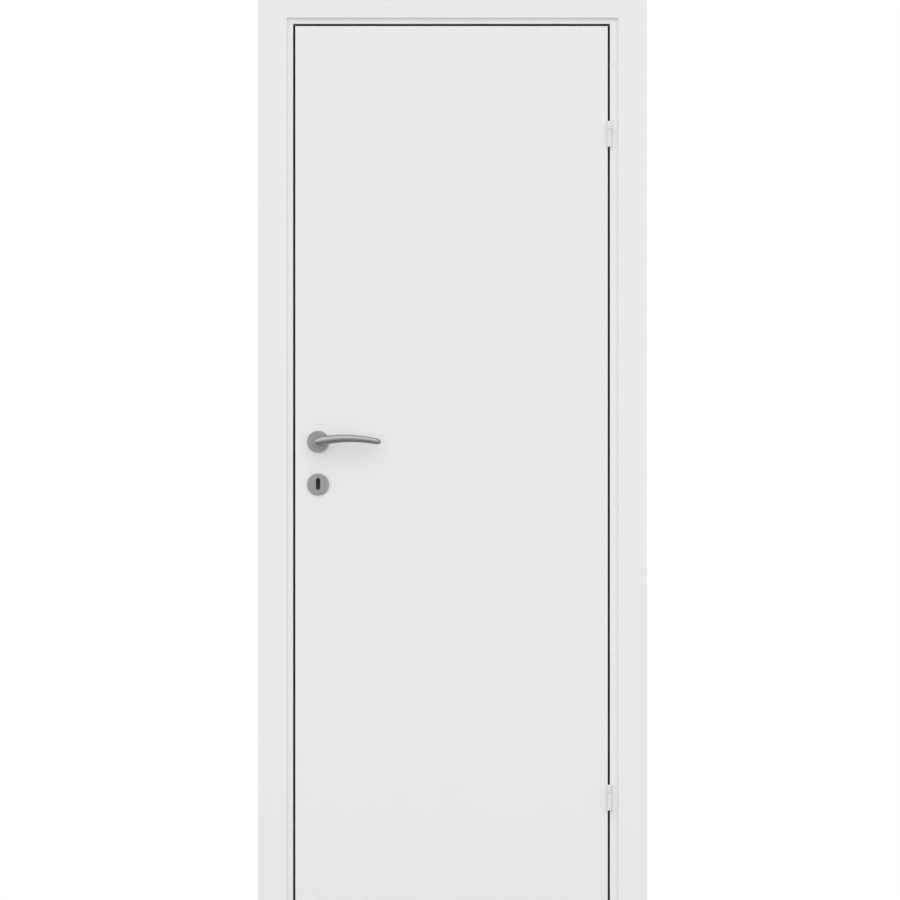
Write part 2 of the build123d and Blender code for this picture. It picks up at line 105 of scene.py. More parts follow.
class Wire:
    """An output socket that takes part in arithmetic: each operation adds one Math node to its sheet."""

    def __init__(self, sheet: "NodeSheet", socket: bpy.types.NodeSocket) -> None:
        """Wraps one output socket of a sheet."""
        self.sheet = sheet
        self.socket = socket

    def _math(self, operation: str, first: Any, second: Any = 0.0) -> "Wire":
        """Adds one Math node.

        Args:
            operation: the Math node's operation.
            first: its first value or wire.
            second: its second value or wire.

        Returns:
            The wire of its result.
        """
        return self.sheet.wire("ShaderNodeMath", {"operation": operation}, {0: first, 1: second})

    def __add__(self, other: Any) -> "Wire":
        """This plus other."""
        return self._math("ADD", self, other)

    def __radd__(self, other: Any) -> "Wire":
        """Other plus this."""
        return self._math("ADD", other, self)

    def __sub__(self, other: Any) -> "Wire":
        """This minus other."""
        return self._math("SUBTRACT", self, other)

    def __rsub__(self, other: Any) -> "Wire":
        """Other minus this."""
        return self._math("SUBTRACT", other, self)

    def __mul__(self, other: Any) -> "Wire":
        """This times other."""
        return self._math("MULTIPLY", self, other)

    def __rmul__(self, other: Any) -> "Wire":
        """Other times this."""
        return self._math("MULTIPLY", other, self)

    def __truediv__(self, other: Any) -> "Wire":
        """This divided by other."""
        return self._math("DIVIDE", self, other)

    def __rtruediv__(self, other: Any) -> "Wire":
        """Other divided by this."""
        return self._math("DIVIDE", other, self)

    def __pow__(self, other: Any) -> "Wire":
        """This to the power of other."""
        return self._math("POWER", self, other)

    def __rpow__(self, other: Any) -> "Wire":
        """Other to the power of this."""
        return self._math("POWER", other, self)

    def __abs__(self) -> "Wire":
        """The size of this without its sign."""
        return self._math("ABSOLUTE", self)

    def at_least(self, other: Any) -> "Wire":
        """The larger of this and other."""
        return self._math("MAXIMUM", self, other)

    def root(self) -> "Wire":
        """The square root of this."""
        return self._math("SQRT", self)

    def ease(self, low: float, high: float) -> "Wire":
        """A smooth step from 0 at low to 1 at high."""
        limits = {"Value": self, "From Min": low, "From Max": high}
        return self.sheet.wire("ShaderNodeMapRange", {"interpolation_type": "SMOOTHSTEP"}, limits)


class NodeSheet:
    """A shader or geometry node tree and the few ways in which this script adds nodes to it."""

    MIX_SHARE, MIX_FIRST, MIX_SECOND, MIX_RESULT = 0, 6, 7, 2

    def __init__(self, tree: bpy.types.NodeTree) -> None:
        """Wraps a node tree."""
        self.tree = tree

    def node(
        self,
        kind: str,
        settings: Mapping[str, Any] | None = None,
        sockets: Mapping[int | str, Any] | None = None,
    ) -> bpy.types.Node:
        """Adds one node.

        Args:
            kind: the node's type.
            settings: its settings, which are set first.
            sockets: values, sockets or wires for its inputs, by name or number.

        Returns:
            The new node.
        """
        made = self.tree.nodes.new(kind)
        for name, value in (settings or {}).items():
            setattr(made, name, value)
        self.feed(made, sockets or {})
        return made

    def feed(self, node: bpy.types.Node, sockets: Mapping[int | str, Any]) -> None:
        """Sets or links a node's inputs.

        Args:
            node: the node to feed.
            sockets: values, sockets or wires, by input name or number.
        """
        for key, value in sockets.items():
            target = node.inputs[key]
            if isinstance(value, Wire):
                self.tree.links.new(value.socket, target)
            elif isinstance(value, bpy.types.NodeSocket):
                self.tree.links.new(value, target)
            else:
                target.default_value = value

    def wire(
        self,
        kind: str,
        settings: Mapping[str, Any] | None = None,
        sockets: Mapping[int | str, Any] | None = None,
        output: int | str = 0,
    ) -> Wire:
        """Adds one node and wraps one of its outputs.

        Args:
            kind: the node's type.
            settings: its settings.
            sockets: values, sockets or wires for its inputs.
            output: the output's name or number.

        Returns:
            The wire of that output.
        """
        return Wire(self, self.node(kind, settings, sockets).outputs[output])

    def place(self, cells: Triple = (1.0, 1.0, 1.0), centre: Triple = (0.0, 0.0, 0.0)) -> Wire:
        """The piece's own coordinates, centred and stretched.

        Args:
            cells: pattern units per metre along X, Y and Z.
            centre: the point that becomes the origin, in metres.

        Returns:
            The wire of the vector.
        """
        here = self.wire("ShaderNodeTexCoord", output="Object")
        moved = self.wire("ShaderNodeVectorMath", {"operation": "SUBTRACT"}, {0: here, 1: centre})
        return self.wire("ShaderNodeVectorMath", {"operation": "MULTIPLY"}, {0: moved, 1: cells})

    def noise(self, place: Wire, scale: float = 1.0, detail: float = 2.0) -> Wire:
        """Soft noise from 0 to 1, about even at 0.5.

        Args:
            place: the vector that it is read at.
            scale: its cells per unit of the vector.
            detail: how many finer layers it has.

        Returns:
            The wire of its value.
        """
        return self.wire("ShaderNodeTexNoise", None, {"Vector": place, "Scale": scale, "Detail": detail})

    def axes(self, place: Wire) -> tuple[Wire, Wire, Wire]:
        """The three parts of a vector."""
        split = self.node("ShaderNodeSeparateXYZ", None, {0: place})
        return tuple(Wire(self, part) for part in split.outputs)

    def blend(self, share: Wire, first: Any, second: Any) -> Wire:
        """Mixes two colours.

        Args:
            share: how much of the second colour shows.
            first: the first colour or its wire.
            second: the second colour or its wire.

        Returns:
            The wire of the mixed colour.
        """
        sockets = {self.MIX_SHARE: share}
        for key, colour in ((self.MIX_FIRST, first), (self.MIX_SECOND, second)):
            sockets[key] = colour if isinstance(colour, Wire) else (*colour, 1.0)
        return self.wire("ShaderNodeMix", {"data_type": "RGBA"}, sockets, output=self.MIX_RESULT)

    def relief(self, height: Wire, depth: float, strength: float = 1.0) -> Wire:
        """A surface relief as a normal.

        Args:
            height: the relief, from 0 to 1.
            depth: its depth in metres.
            strength: how much of it shows.

        Returns:
            The wire of the normal.
        """
        sockets = {"Strength": strength, "Distance": depth, "Height": height}
        return self.wire("ShaderNodeBump", None, sockets, "Normal")


def shade(colour: Colour, factor: float) -> Colour:
    """A colour made lighter or darker by a factor."""
    return tuple(channel * factor for channel in colour)


@dataclass(frozen=True)
class Finish:
    """What every finish has: a name, a colour and a roughness."""

    name: str
    colour: Colour
    roughness: float

    def material(self) -> bpy.types.Material:
        """Makes the finish's material.

        Returns:
            The new material.
        """
        material = bpy.data.materials.new(self.name)
        material.use_nodes = True
        material.diffuse_color = (*self.colour, 1.0)
        sheet = NodeSheet(material.node_tree)
        sheet.feed(material.node_tree.nodes["Principled BSDF"], self.sockets(sheet))
        return material

    def tones(self, spread: float) -> tuple[Colour, Colour]:
        """The colour a little darker and a little lighter."""
        return shade(self.colour, 1.0 - spread), shade(self.colour, 1.0 + spread)

    def sockets(self, sheet: NodeSheet) -> dict[str, Any]:
        """The shader's inputs; each finish gives its own."""
        raise NotImplementedError


@dataclass(frozen=True)
class WhiteLacquer(Finish):
    """Sprayed satin lacquer: an even white with a fine orange peel and slightly uneven gloss."""

    cloud_cells: float = 2.2
    cloud_spread: float = 0.006
    gloss_cells: float = 26.0
    gloss_spread: float = 0.12
    peel_cells: float = 420.0
    peel_depth: float = 0.00003
    peel_strength: float = 0.35

    def sockets(self, sheet: NodeSheet) -> dict[str, Any]:
        """Even white, uneven gloss and orange peel."""
        place = sheet.place()
        clouds = sheet.noise(place, self.cloud_cells, detail=3.0)
        gloss = sheet.noise(place, self.gloss_cells, detail=4.0)
        peel = sheet.noise(place, self.peel_cells, detail=1.5)
        return {
            "Base Color": sheet.blend(clouds, *self.tones(self.cloud_spread)),
            "Roughness": self.roughness + (gloss - HALF) * self.gloss_spread,
            "Normal": sheet.relief(peel, self.peel_depth, self.peel_strength),
        }


@dataclass(frozen=True)
class PowderCoat(Finish):
    """White powder coat on the hinges: a fine grain, rubbed to bare steel where the two knuckles meet."""

    seam_heights: tuple[float, ...] = ()
    plate_front: float = 0.0
    seam_half: float = 0.0007
    seam_fade: tuple[float, float] = (0.5, 1.6)
    knuckle_fade: tuple[float, float] = (3.0, 1.5)
    bare: Colour = (0.42, 0.42, 0.42)
    bare_metal: float = 0.8
    rub_cells: float = 700.0
    rub_range: tuple[float, float] = (0.3, 0.62)
    grain_cells: float = 1500.0
    grain_depth: float = 0.00004
    grain_strength: float = 0.4
    gloss_spread: float = 0.14

    def sockets(self, sheet: NodeSheet) -> dict[str, Any]:
        """White with a fine grain, bare at the seams."""
        place = sheet.place()
        grain = sheet.noise(place, self.grain_cells)
        rub = sheet.noise(place, self.rub_cells)
        _, depth, height = sheet.axes(place)
        fade = [self.seam_half * times for times in self.seam_fade]
        worn: Any = 0.0
        for seam in self.seam_heights:
            worn = (1.0 - abs(height - seam).ease(*fade)) + worn
        behind = [self.plate_front - self.seam_half * times for times in self.knuckle_fade]
        knuckle = 1.0 - depth.ease(*behind)
        worn = worn * knuckle * rub.ease(*self.rub_range)
        return {
            "Base Color": sheet.blend(worn, self.colour, self.bare),
            "Metallic": worn * self.bare_metal,
            "Roughness": self.roughness + (grain - HALF) * self.gloss_spread,
            "Normal": sheet.relief(grain, self.grain_depth, self.grain_strength),
        }


@dataclass(frozen=True)
class SatinSteel(Finish):
    """Brushed satin stainless steel, with fine streaks along its grain."""

    grain: Grain = Grain.ALONG_BAR
    broad_cells: float = 0.45
    broad_share: float = 0.55
    fine_cells: float = 2.0
    tone_spread: float = 0.12
    gloss_spread: float = 0.16
    smudge_cells: float = 55.0
    smudge_spread: float = 0.06
    streak_depth: float = 0.000012
    streak_strength: float = 0.5

    def streaks(self, sheet: NodeSheet) -> Wire:
        """The brushed streaks, broad and fine together."""
        broad = sheet.noise(sheet.place(self.grain.value), self.broad_cells)
        fine = sheet.noise(sheet.place(self.grain.value), self.fine_cells)
        return broad * self.broad_share + fine * (1.0 - self.broad_share)

    def sockets(self, sheet: NodeSheet) -> dict[str, Any]:
        """Metal with streaks in colour, gloss and relief."""
        streaks = self.streaks(sheet)
        smudges = sheet.noise(sheet.place(), self.smudge_cells, detail=3.0)
        uneven = (streaks - HALF) * self.gloss_spread
        return {
            "Base Color": sheet.blend(streaks, *self.tones(self.tone_spread)),
            "Metallic": 1.0,
            "Roughness": self.roughness + uneven + (smudges - HALF) * self.smudge_spread,
            "Normal": sheet.relief(streaks, self.streak_depth, self.streak_strength),
        }


@dataclass(frozen=True)
class PlateSteel(SatinSteel):
    """Satin steel of a round plate: brushed upright, with its rim worn brighter and smoother."""

    tone_spread: float = 0.28
    centre: Triple = (0.0, 0.0, 0.0)
    radius: float = 0.0253
    rim: float = 0.0017
    rim_fade: tuple[float, float] = (1.6, 0.5)
    rim_share: float = 0.6
    rim_tone: float = 1.1
    rim_gloss: float = 0.07
    band_cells: float = 0.16
    band_share: float = 0.5

    def streaks(self, sheet: NodeSheet) -> Wire:
        """The brushed streaks, with broad bands among them."""
        bands = sheet.noise(sheet.place(self.grain.value), self.band_cells)
        return bands * self.band_share + super().streaks(sheet) * (1.0 - self.band_share)

    def sockets(self, sheet: NodeSheet) -> dict[str, Any]:
        """Brushed metal with a polished rim."""
        across, _, up = sheet.axes(sheet.place(centre=self.centre))
        reach = (across * across + up * up).root()
        rim = reach.ease(*[self.radius - self.rim * times for times in self.rim_fade])
        streaks = self.streaks(sheet)
        face = sheet.blend(streaks, *self.tones(self.tone_spread))
        uneven = (streaks - HALF) * self.gloss_spread
        return {
            "Base Color": sheet.blend(rim * self.rim_share, face, shade(self.colour, self.rim_tone)),
            "Metallic": 1.0,
            "Roughness": self.roughness + uneven - rim * self.rim_gloss,
            "Normal": sheet.relief(streaks * (1.0 - rim), self.streak_depth, self.streak_strength),
        }


@dataclass(frozen=True)
class ZincPlate(Finish):
    """Bright zinc plate on pressed steel: cloudy, with small crystals and fine scratches."""

    crystal_cells: float = 260.0
    cloud_cells: float = 60.0
    cloud_share: float = 0.7
    dark_tone: float = 0.8
    light_tone: float = 1.1
    gloss_spread: float = 0.2
    scratch_cells: Triple = (700.0, 700.0, 30.0)
    scratch_range: tuple[float, float] = (0.55, 0.75)
    scratch_gloss: float = 0.1
    scratch_depth: float = 0.00001
    scratch_strength: float = 0.4

    def sockets(self, sheet: NodeSheet) -> dict[str, Any]:
        """Cloudy plated metal."""
        place = sheet.place()
        cells = {"Vector": place, "Scale": self.crystal_cells}
        crystals = sheet.wire("ShaderNodeTexVoronoi", None, cells, "Distance")
        clouds = sheet.noise(place, self.cloud_cells, detail=3.0)
        scratches = sheet.noise(sheet.place(self.scratch_cells), detail=3.0).ease(*self.scratch_range)
        tone = clouds * self.cloud_share + crystals * (1.0 - self.cloud_share)
        dark, light = shade(self.colour, self.dark_tone), shade(self.colour, self.light_tone)
        uneven = (tone - HALF) * self.gloss_spread
        return {
            "Base Color": sheet.blend(tone, dark, light),
            "Metallic": 1.0,
            "Roughness": self.roughness + uneven + scratches * self.scratch_gloss,
            "Normal": sheet.relief(scratches, self.scratch_depth, self.scratch_strength),
        }


@dataclass(frozen=True)
class DarkSteel(Finish):
    """Dark lacquered pressed steel of the lock case, dusty and a little rubbed; its near-black also paints
    the shade deep in the keyhole slots.
    """

    rubbed: Colour = (0.2, 0.2, 0.2)
    rub_cells: float = 90.0
    rub_range: tuple[float, float] = (0.6, 0.8)
    rub_share: float = 0.5
    rub_metal: float = 0.6
    grain_cells: float = 1300.0
    grain_depth: float = 0.00003
    grain_strength: float = 0.4
    gloss_spread: float = 0.2

    def sockets(self, sheet: NodeSheet) -> dict[str, Any]:
        """Dark lacquer with rubbed patches."""
        place = sheet.place()
        rub = sheet.noise(place, self.rub_cells, detail=4.0).ease(*self.rub_range)
        grain = sheet.noise(place, self.grain_cells)
        return {
            "Base Color": sheet.blend(rub * self.rub_share, self.colour, self.rubbed),
            "Metallic": rub * self.rub_metal,
            "Roughness": self.roughness + (grain - HALF) * self.gloss_spread,
            "Normal": sheet.relief(grain, self.grain_depth, self.grain_strength),
        }


@dataclass(frozen=True)
class Rubber(Finish):
    """Matt black rubber with a fine moulded grain and a trace of dust; on the rebate seal its black also
    paints the shade deep in the gaps round the leaf.
    """

    dust: Colour = (0.09, 0.088, 0.085)
    dust_cells: float = 35.0
    dust_range: tuple[float, float] = (0.5, 0.85)
    dust_share: float = 0.35
    dust_gloss: float = 0.08
    grain_cells: float = 1800.0
    grain_depth: float = 0.00005
    grain_strength: float = 0.5
    gloss_spread: float = 0.2

    def sockets(self, sheet: NodeSheet) -> dict[str, Any]:
        """Matt black, dusty in patches."""
        place = sheet.place()
        dust = sheet.noise(place, self.dust_cells, detail=4.0).ease(*self.dust_range)
        grain = sheet.noise(place, self.grain_cells)
        uneven = (grain - HALF) * self.gloss_spread
        return {
            "Base Color": sheet.blend(dust * self.dust_share, self.colour, self.dust),
            "Roughness": self.roughness + uneven + dust * self.dust_gloss,
            "Normal": sheet.relief(grain, self.grain_depth, self.grain_strength),
        }


@dataclass(frozen=True)
class ChipBoard(Finish):
    """Raw particle board: pressed chips of pale and dark wood."""

    dark: Colour = (0.36, 0.24, 0.14)
    chip_cells: Triple = (330.0, 330.0, 130.0)
    chip_depth: float = 0.0003
    chip_strength: float = 0.6
    gloss_spread: float = 0.15

    def sockets(self, sheet: NodeSheet) -> dict[str, Any]:
        """Chips of several wood tones."""
        place = sheet.place(self.chip_cells)
        chips = sheet.node("ShaderNodeTexVoronoi", None, {"Vector": place, "Scale": 1.0})
        tone = sheet.axes(Wire(sheet, chips.outputs["Color"]))[0]
        depth = Wire(sheet, chips.outputs["Distance"])
        return {
            "Base Color": sheet.blend(tone, self.colour, self.dark),
            "Roughness": self.roughness + (tone - HALF) * self.gloss_spread,
            "Normal": sheet.relief(depth, self.chip_depth, self.chip_strength),
        }


def dress(nodes: Nodes, names: Iterable[str], material: bpy.types.Material) -> None:
    """Gives CAD nodes a finish.

    Args:
        nodes: the frame's objects by node name.
        names: the nodes to dress.
        material: the finish's material.
    """
    for name in names:
        for slot in nodes[name].material_slots:
            slot.material = material
        LOG.info("dressed %s in %s", name, material.name)


class GeometryRule:
    """A Geometry Nodes tree with named sizes that is run once to make a plain mesh."""

    def __init__(self, name: str, sizes: Mapping[str, float]) -> None:
        """Starts the tree.

        Args:
            name: the tree's name.
            sizes: its named inputs and their values, in metres.
        """
        self.name = name
        self.sizes = dict(sizes)
        self.tree = bpy.data.node_groups.new(name, "GeometryNodeTree")
        self.sheet = NodeSheet(self.tree)
        face = self.tree.interface
        face.new_socket("Geometry", in_out="INPUT", socket_type="NodeSocketGeometry")
        self.keys = {
            size: face.new_socket(size, in_out="INPUT", socket_type="NodeSocketFloat").identifier
            for size in sizes
        }
        face.new_socket("Geometry", in_out="OUTPUT", socket_type="NodeSocketGeometry")
        self.inputs = self.sheet.node("NodeGroupInput")

    def source(self) -> Wire:
        """The points or lines that the rule works on."""
        return Wire(self.sheet, self.inputs.outputs["Geometry"])

    def size(self, name: str) -> Wire:
        """One of the rule's named sizes."""
        return Wire(self.sheet, self.inputs.outputs[name])

    def vector(self, x: Any, y: Any, z: Any) -> Wire:
        """A vector from three values or wires."""
        return self.sheet.wire("ShaderNodeCombineXYZ", None, {0: x, 1: y, 2: z})

    def close(self, shape: Wire, crease: float, material: bpy.types.Material) -> None:
        """Ends the tree: real faces, smooth up to a crease angle, in one material.

        Args:
            shape: the wire of the finished geometry.
            crease: the angle past which an edge stays sharp, in degrees.
            material: the material of every face.
        """
        sheet = self.sheet
        real = sheet.wire("GeometryNodeRealizeInstances", None, {0: shape})
        smooth = sheet.wire("GeometryNodeSetShadeSmooth", {"domain": "FACE"}, {0: real, "Shade Smooth": True})
        angles = {0: sheet.wire("GeometryNodeInputMeshEdgeAngle"), 1: math.radians(crease)}
        sharp = sheet.wire("FunctionNodeCompare", {"operation": "GREATER_THAN"}, angles)
        edged = sheet.wire(
            "GeometryNodeSetShadeSmooth",
            {"domain": "EDGE"},
            {0: smooth, "Selection": sharp, "Shade Smooth": False},
        )
        dressed = sheet.wire("GeometryNodeSetMaterial", None, {0: edged, "Material": material})
        sheet.node("NodeGroupOutput", None, {0: dressed})

    def run(self, seed_mesh: bpy.types.Mesh, material: bpy.types.Material) -> bpy.types.Object:
        """Runs the rule on a mesh of points or lines.

        Args:
            seed_mesh: the points or lines.
            material: the material that the tree sets.

        Returns:
            A new object at the origin with a plain mesh.
        """
        carrier = bpy.data.objects.new(self.name, seed_mesh)
        bpy.context.scene.collection.objects.link(carrier)
        modifier = carrier.modifiers.new(self.name, "NODES")
        modifier.node_group = self.tree
        for size, value in self.sizes.items():
            modifier[self.keys[size]] = value
        graph = bpy.context.evaluated_depsgraph_get()
        plain = bpy.data.meshes.new_from_object(carrier.evaluated_get(graph), depsgraph=graph)
        carrier.modifiers.remove(modifier)
        plain.name = self.name
        if material.name not in plain.materials:
            plain.materials.append(material)
        carrier.data = plain
        bpy.data.meshes.remove(seed_mesh)
        bpy.data.node_groups.remove(self.tree)
        return carrier


@dataclass
class ScrewHeads:
    """Raised screw heads of one body, with a driver recess, set on given points."""

    name: str
    body: Body
    recess: Recess
    head_radius: float
    rise: float
    recess_width: float
    recess_depth: float
    arm_share: float = 0.24
    segments: int = 32
    rings: int = 16
    crease: float = 32.0

    def _recess(self, rule: GeometryRule) -> list[Wire]:
        """The solids that are cut out of a head for the driver.

        Args:
            rule: the rule that the nodes are added to.

        Returns:
            The wires of the cutters, standing at the crown of the head.
        """
        sheet = rule.sheet
        width, depth = rule.size("Recess width"), rule.size("Recess depth")
        if self.recess is Recess.HEXAGON:
            prism = {"Vertices": 6, "Radius": width / 2.0, "Depth": depth * 2.0}
            cutters = [sheet.wire("GeometryNodeMeshCylinder", None, prism, "Mesh")]
        else:
            cutters = []
            arm = width * self.arm_share
            for length, breadth in ((width, arm), (arm, width)):
                bar = {"Size": rule.vector(length, breadth, depth * 2.0)}
                cutters.append(sheet.wire("GeometryNodeMeshCube", None, bar, "Mesh"))
        crown = rule.vector(0.0, 0.0, rule.size("Rise"))
        return [
            sheet.wire("GeometryNodeTransform", None, {0: cutter, "Translation": crown})
            for cutter in cutters
        ]

    def _rule(self, material: bpy.types.Material) -> GeometryRule:
        """The tree that sets a head on every point.

        Args:
            material: the heads' finish.

        Returns:
            The finished rule.
        """
        sizes = {
            "Head radius": self.head_radius,
            "Rise": self.rise,
            "Recess width": self.recess_width,
            "Recess depth": self.recess_depth,
        }
        rule = GeometryRule(self.name, sizes)
        sheet = rule.sheet
        globe = {"Segments": self.segments, "Rings": self.rings, "Radius": 1.0}
        ball = sheet.wire("GeometryNodeMeshUVSphere", None, globe, "Mesh")
        radius = rule.size("Head radius")
        spread = rule.vector(radius, radius, rule.size("Rise"))
        dome = sheet.wire("GeometryNodeTransform", None, {0: ball, "Scale": spread})
        way = {"operation": "DIFFERENCE", "solver": "EXACT"}
        cut = sheet.node("GeometryNodeMeshBoolean", way, {"Mesh 1": dome})
        for cutter in self._recess(rule):
            sheet.tree.links.new(cutter.socket, cut.inputs["Mesh 2"])
        kind = {"data_type": "FLOAT_VECTOR"}
        facing = sheet.wire("GeometryNodeInputNamedAttribute", kind, {"Name": FACING})
        turn = sheet.wire("FunctionNodeAlignRotationToVector", {"axis": "Z"}, {"Vector": facing})
        heads = sheet.wire(
            "GeometryNodeInstanceOnPoints",
            None,
            {"Points": rule.source(), "Instance": Wire(sheet, cut.outputs["Mesh"]), "Rotation": turn},
        )
        rule.close(heads, self.crease, material)
        return rule

    def build(self, places: Sequence[Place], material: bpy.types.Material, slot: Slot) -> bpy.types.Object:
        """Makes the heads and sets them on their body.

        Args:
            places: each head's point on the surface and the direction that it faces.
            material: the heads' finish.
            slot: the record's slot of that finish; not used.

        Returns:
            The new piece.
        """
        mesh = bpy.data.meshes.new(self.name)
        mesh.from_pydata([tuple(point) for point, _ in places], [], [])
        facing = mesh.attributes.new(FACING, "FLOAT_VECTOR", "POINT")
        for entry, (_, direction) in zip(facing.data, places):
            entry.vector = direction
        piece = self._rule(material).run(mesh, material)
        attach(piece, self.body.value)
        LOG.info("made %s with %d heads", self.name, len(places))
        return piece


@dataclass
class FrameSet:
    """The white frame: jambs, head, threshold and the casings on both sides of the wall."""

    members: tuple[str, ...] = ("lock_jamb", "hinge_jamb", "head_jamb", "threshold")
    casings: tuple[str, ...] = ("lock_casing", "hinge_casing", "head_casing")
    sides: tuple[str, ...] = ("front", "back")

    def dress(self, nodes: Nodes, lacquer: bpy.types.Material) -> None:
        """Gives the frame and its casings their lacquer."""
        dress(nodes, self.members, lacquer)
        dress(nodes, [f"{side}_{casing}" for side in self.sides for casing in self.casings], lacquer)


@dataclass
class RebateSeal:
    """The rubber seal in the rebate: one ribbed strip, up one side, over the head and down the other."""

    name: str = "rebate_seal"
    stands_for: tuple[str, ...] = ("lock_side_seal", "head_seal", "hinge_side_seal")
    width: float = 8.4 * MM
    height: float = 4.5 * MM
    corner_radius: float = 5.5 * MM
    rib_place: float = 0.66
    rib_half: float = 0.10
    rib_depth: float = 0.45
    bulb_power: float = 0.6
    ring_points: int = 64
    corner_points: int = 8
    crease: float = 38.0

    def _profile(self, rule: GeometryRule) -> Wire:
        """The strip's section: a bulb between two low ribs, flat where it sits on the stop.

        Args:
            rule: the rule that the nodes are added to.

        Returns:
            The wire of the closed curve, X out of the stop and Y across it.
        """
        sheet = rule.sheet
        circle = {"Resolution": self.ring_points, "Radius": 1.0}
        ring = sheet.wire("GeometryNodeCurvePrimitiveCircle", {"mode": "RADIUS"}, circle, "Curve")
        across, up, _ = sheet.axes(sheet.wire("GeometryNodeInputPosition"))
        groove = (1.0 - abs(abs(across) - self.rib_place) / self.rib_half).at_least(0.0) * self.rib_depth
        rise = rule.size("Height") * up.at_least(0.0) ** self.bulb_power * (1.0 - groove)
        spot = rule.vector(rise, across * rule.size("Width") * HALF, 0.0)
        return sheet.wire("GeometryNodeSetPosition", None, {0: ring, "Position": spot})

    def build(self, material: bpy.types.Material) -> bpy.types.Object:
        """Makes the strip along the rebate in place of the plain seal solids.

        Args:
            material: the rubber's material.

        Returns:
            The new piece.
        """
        lock_low, lock_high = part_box("lock_side_seal")
        head_low, head_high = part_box("head_seal")
        stop_y = lock_low[1] + self.height
        side = (abs(lock_low[0]) + abs(lock_high[0])) / 2
        foot, top = lock_low[2], (head_low[2] + head_high[2]) / 2
        corners = [(-side, stop_y, foot), (-side, stop_y, top), (side, stop_y, top), (side, stop_y, foot)]
        mesh = bpy.data.meshes.new(self.name)
        mesh.from_pydata(corners, [(0, 1), (1, 2), (2, 3)], [])
        sizes = {"Width": self.width, "Height": self.height, "Corner radius": self.corner_radius}
        rule = GeometryRule(self.name, sizes)
        sheet = rule.sheet
        path = sheet.wire("GeometryNodeMeshToCurve", None, {0: rule.source()})
        bend = {0: path, "Radius": rule.size("Corner radius"), "Count": self.corner_points}
        bent = sheet.wire("GeometryNodeFilletCurve", {"mode": "POLY"}, bend)
        forward = {0: bent, "Normal": (0.0, -1.0, 0.0)}
        turned = sheet.wire("GeometryNodeSetCurveNormal", {"mode": "FREE"}, forward)
        sweep = {"Curve": turned, "Profile Curve": self._profile(rule), "Fill Caps": True}
        strip = sheet.wire("GeometryNodeCurveToMesh", None, sweep)
        rule.close(strip, self.crease, material)
        piece = rule.run(mesh, material)
        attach(piece, Body.FRAME.value)
        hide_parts(*self.stands_for)
        LOG.info("made %s", self.name)
        return piece


@dataclass
class LeafSet:
    """The flush leaf: two face panels on stiles, rails and a core."""

    lacquered: tuple[str, ...] = (
        "front_face_panel", "back_face_panel", "lock_stile", "hinge_stile", "top_rail", "bottom_rail",
    )
    core: str = "leaf_core"

    def dress(self, nodes: Nodes, lacquer: bpy.types.Material, board: bpy.types.Material) -> None:
        """Gives the leaf its lacquer and the core its board."""
        dress(nodes, self.lacquered, lacquer)
        dress(nodes, [self.core], board)


@dataclass
class HingeSet:
    """The two lift-off hinges, with three screws in every plate."""

    hinges: tuple[str, ...] = ("upper", "lower")
    screw_depths: tuple[float, ...] = (22.5 * MM, 12.0 * MM, 22.5 * MM)
    screw_rises: tuple[float, ...] = (-20.0 * MM, 0.0, 20.0 * MM)
    leaf_knuckle: float = 19.0 * MM

    def halves(self, part: str) -> list[str]:
        """The nodes of one kind of hinge part."""
        return [f"{hinge}_hinge_{part}" for hinge in self.hinges]

    def seams(self) -> tuple[float, ...]:
        """The heights at which the two knuckles of each hinge meet."""
        return tuple(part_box(name)[1][2] - self.leaf_knuckle for name in self.halves("leaf_half"))

    def dress(self, nodes: Nodes, coat: bpy.types.Material, zinc: bpy.types.Material) -> None:
        """Gives the halves their powder coat and the pins their zinc."""
        dress(nodes, self.halves("leaf_half") + self.halves("frame_half"), coat)
        dress(nodes, self.halves("pin"), zinc)

    def screw_places(self, part: str, edge_x: float, facing: Vector, front_y: float) -> list[Place]:
        """Where the screws of one kind of hinge plate sit.

        Args:
            part: the kind of hinge half.
            edge_x: the plate's outer face.
            facing: the direction in which the heads face.
            front_y: the depth at which the plates begin.

        Returns:
            Each screw's point and direction.
        """
        places = []
        for name in self.halves(part):
            low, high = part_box(name)
            middle = (low[2] + high[2]) / 2
            for depth, rise in zip(self.screw_depths, self.screw_rises):
                places.append((Vector((edge_x, front_y + depth, middle + rise)), facing))
        return places


@dataclass
class LockSet:
    """The mortise lock in the leaf's edge and the strike plate that faces it."""

    zinc_parts: tuple[str, ...] = ("strike_plate", "lock_forend", "latch_bolt", "dead_bolt")
    case: str = "lock_case"
    end_inset: float = 10.0 * MM

    def dress(self, nodes: Nodes, zinc: bpy.types.Material, dark: bpy.types.Material) -> None:
        """Gives the plates and bolts their zinc and the case its dark lacquer."""
        dress(nodes, self.zinc_parts, zinc)
        dress(nodes, [self.case], dark)

    def strike_places(self) -> list[Place]:
        """Where the strike plate's two screws sit."""
        low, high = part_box("strike_plate")
        middle = (low[1] + high[1]) / 2
        heights = (low[2] + self.end_inset, high[2] - self.end_inset)
        return [(Vector((high[0], middle, height)), Vector((1.0, 0.0, 0.0))) for height in heights]

    def forend_places(self) -> list[Place]:
        """Where the forend's two screws sit, on its slanting face."""
        low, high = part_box("lock_forend")
        panel_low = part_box("front_face_panel")[0]
        back_low, back_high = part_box("back_face_panel")
        bevel = back_low[0] - panel_low[0]
        depth = back_high[1] - panel_low[1]
        middle = (low[1] + high[1]) / 2
        facing = Vector((-depth, bevel, 0.0)).normalized()
        surface = panel_low[0] + bevel * (middle - panel_low[1]) / depth
        heights = (low[2] + self.end_inset, high[2] - self.end_inset)
        return [(Vector((surface, middle, height)), facing) for height in heights]


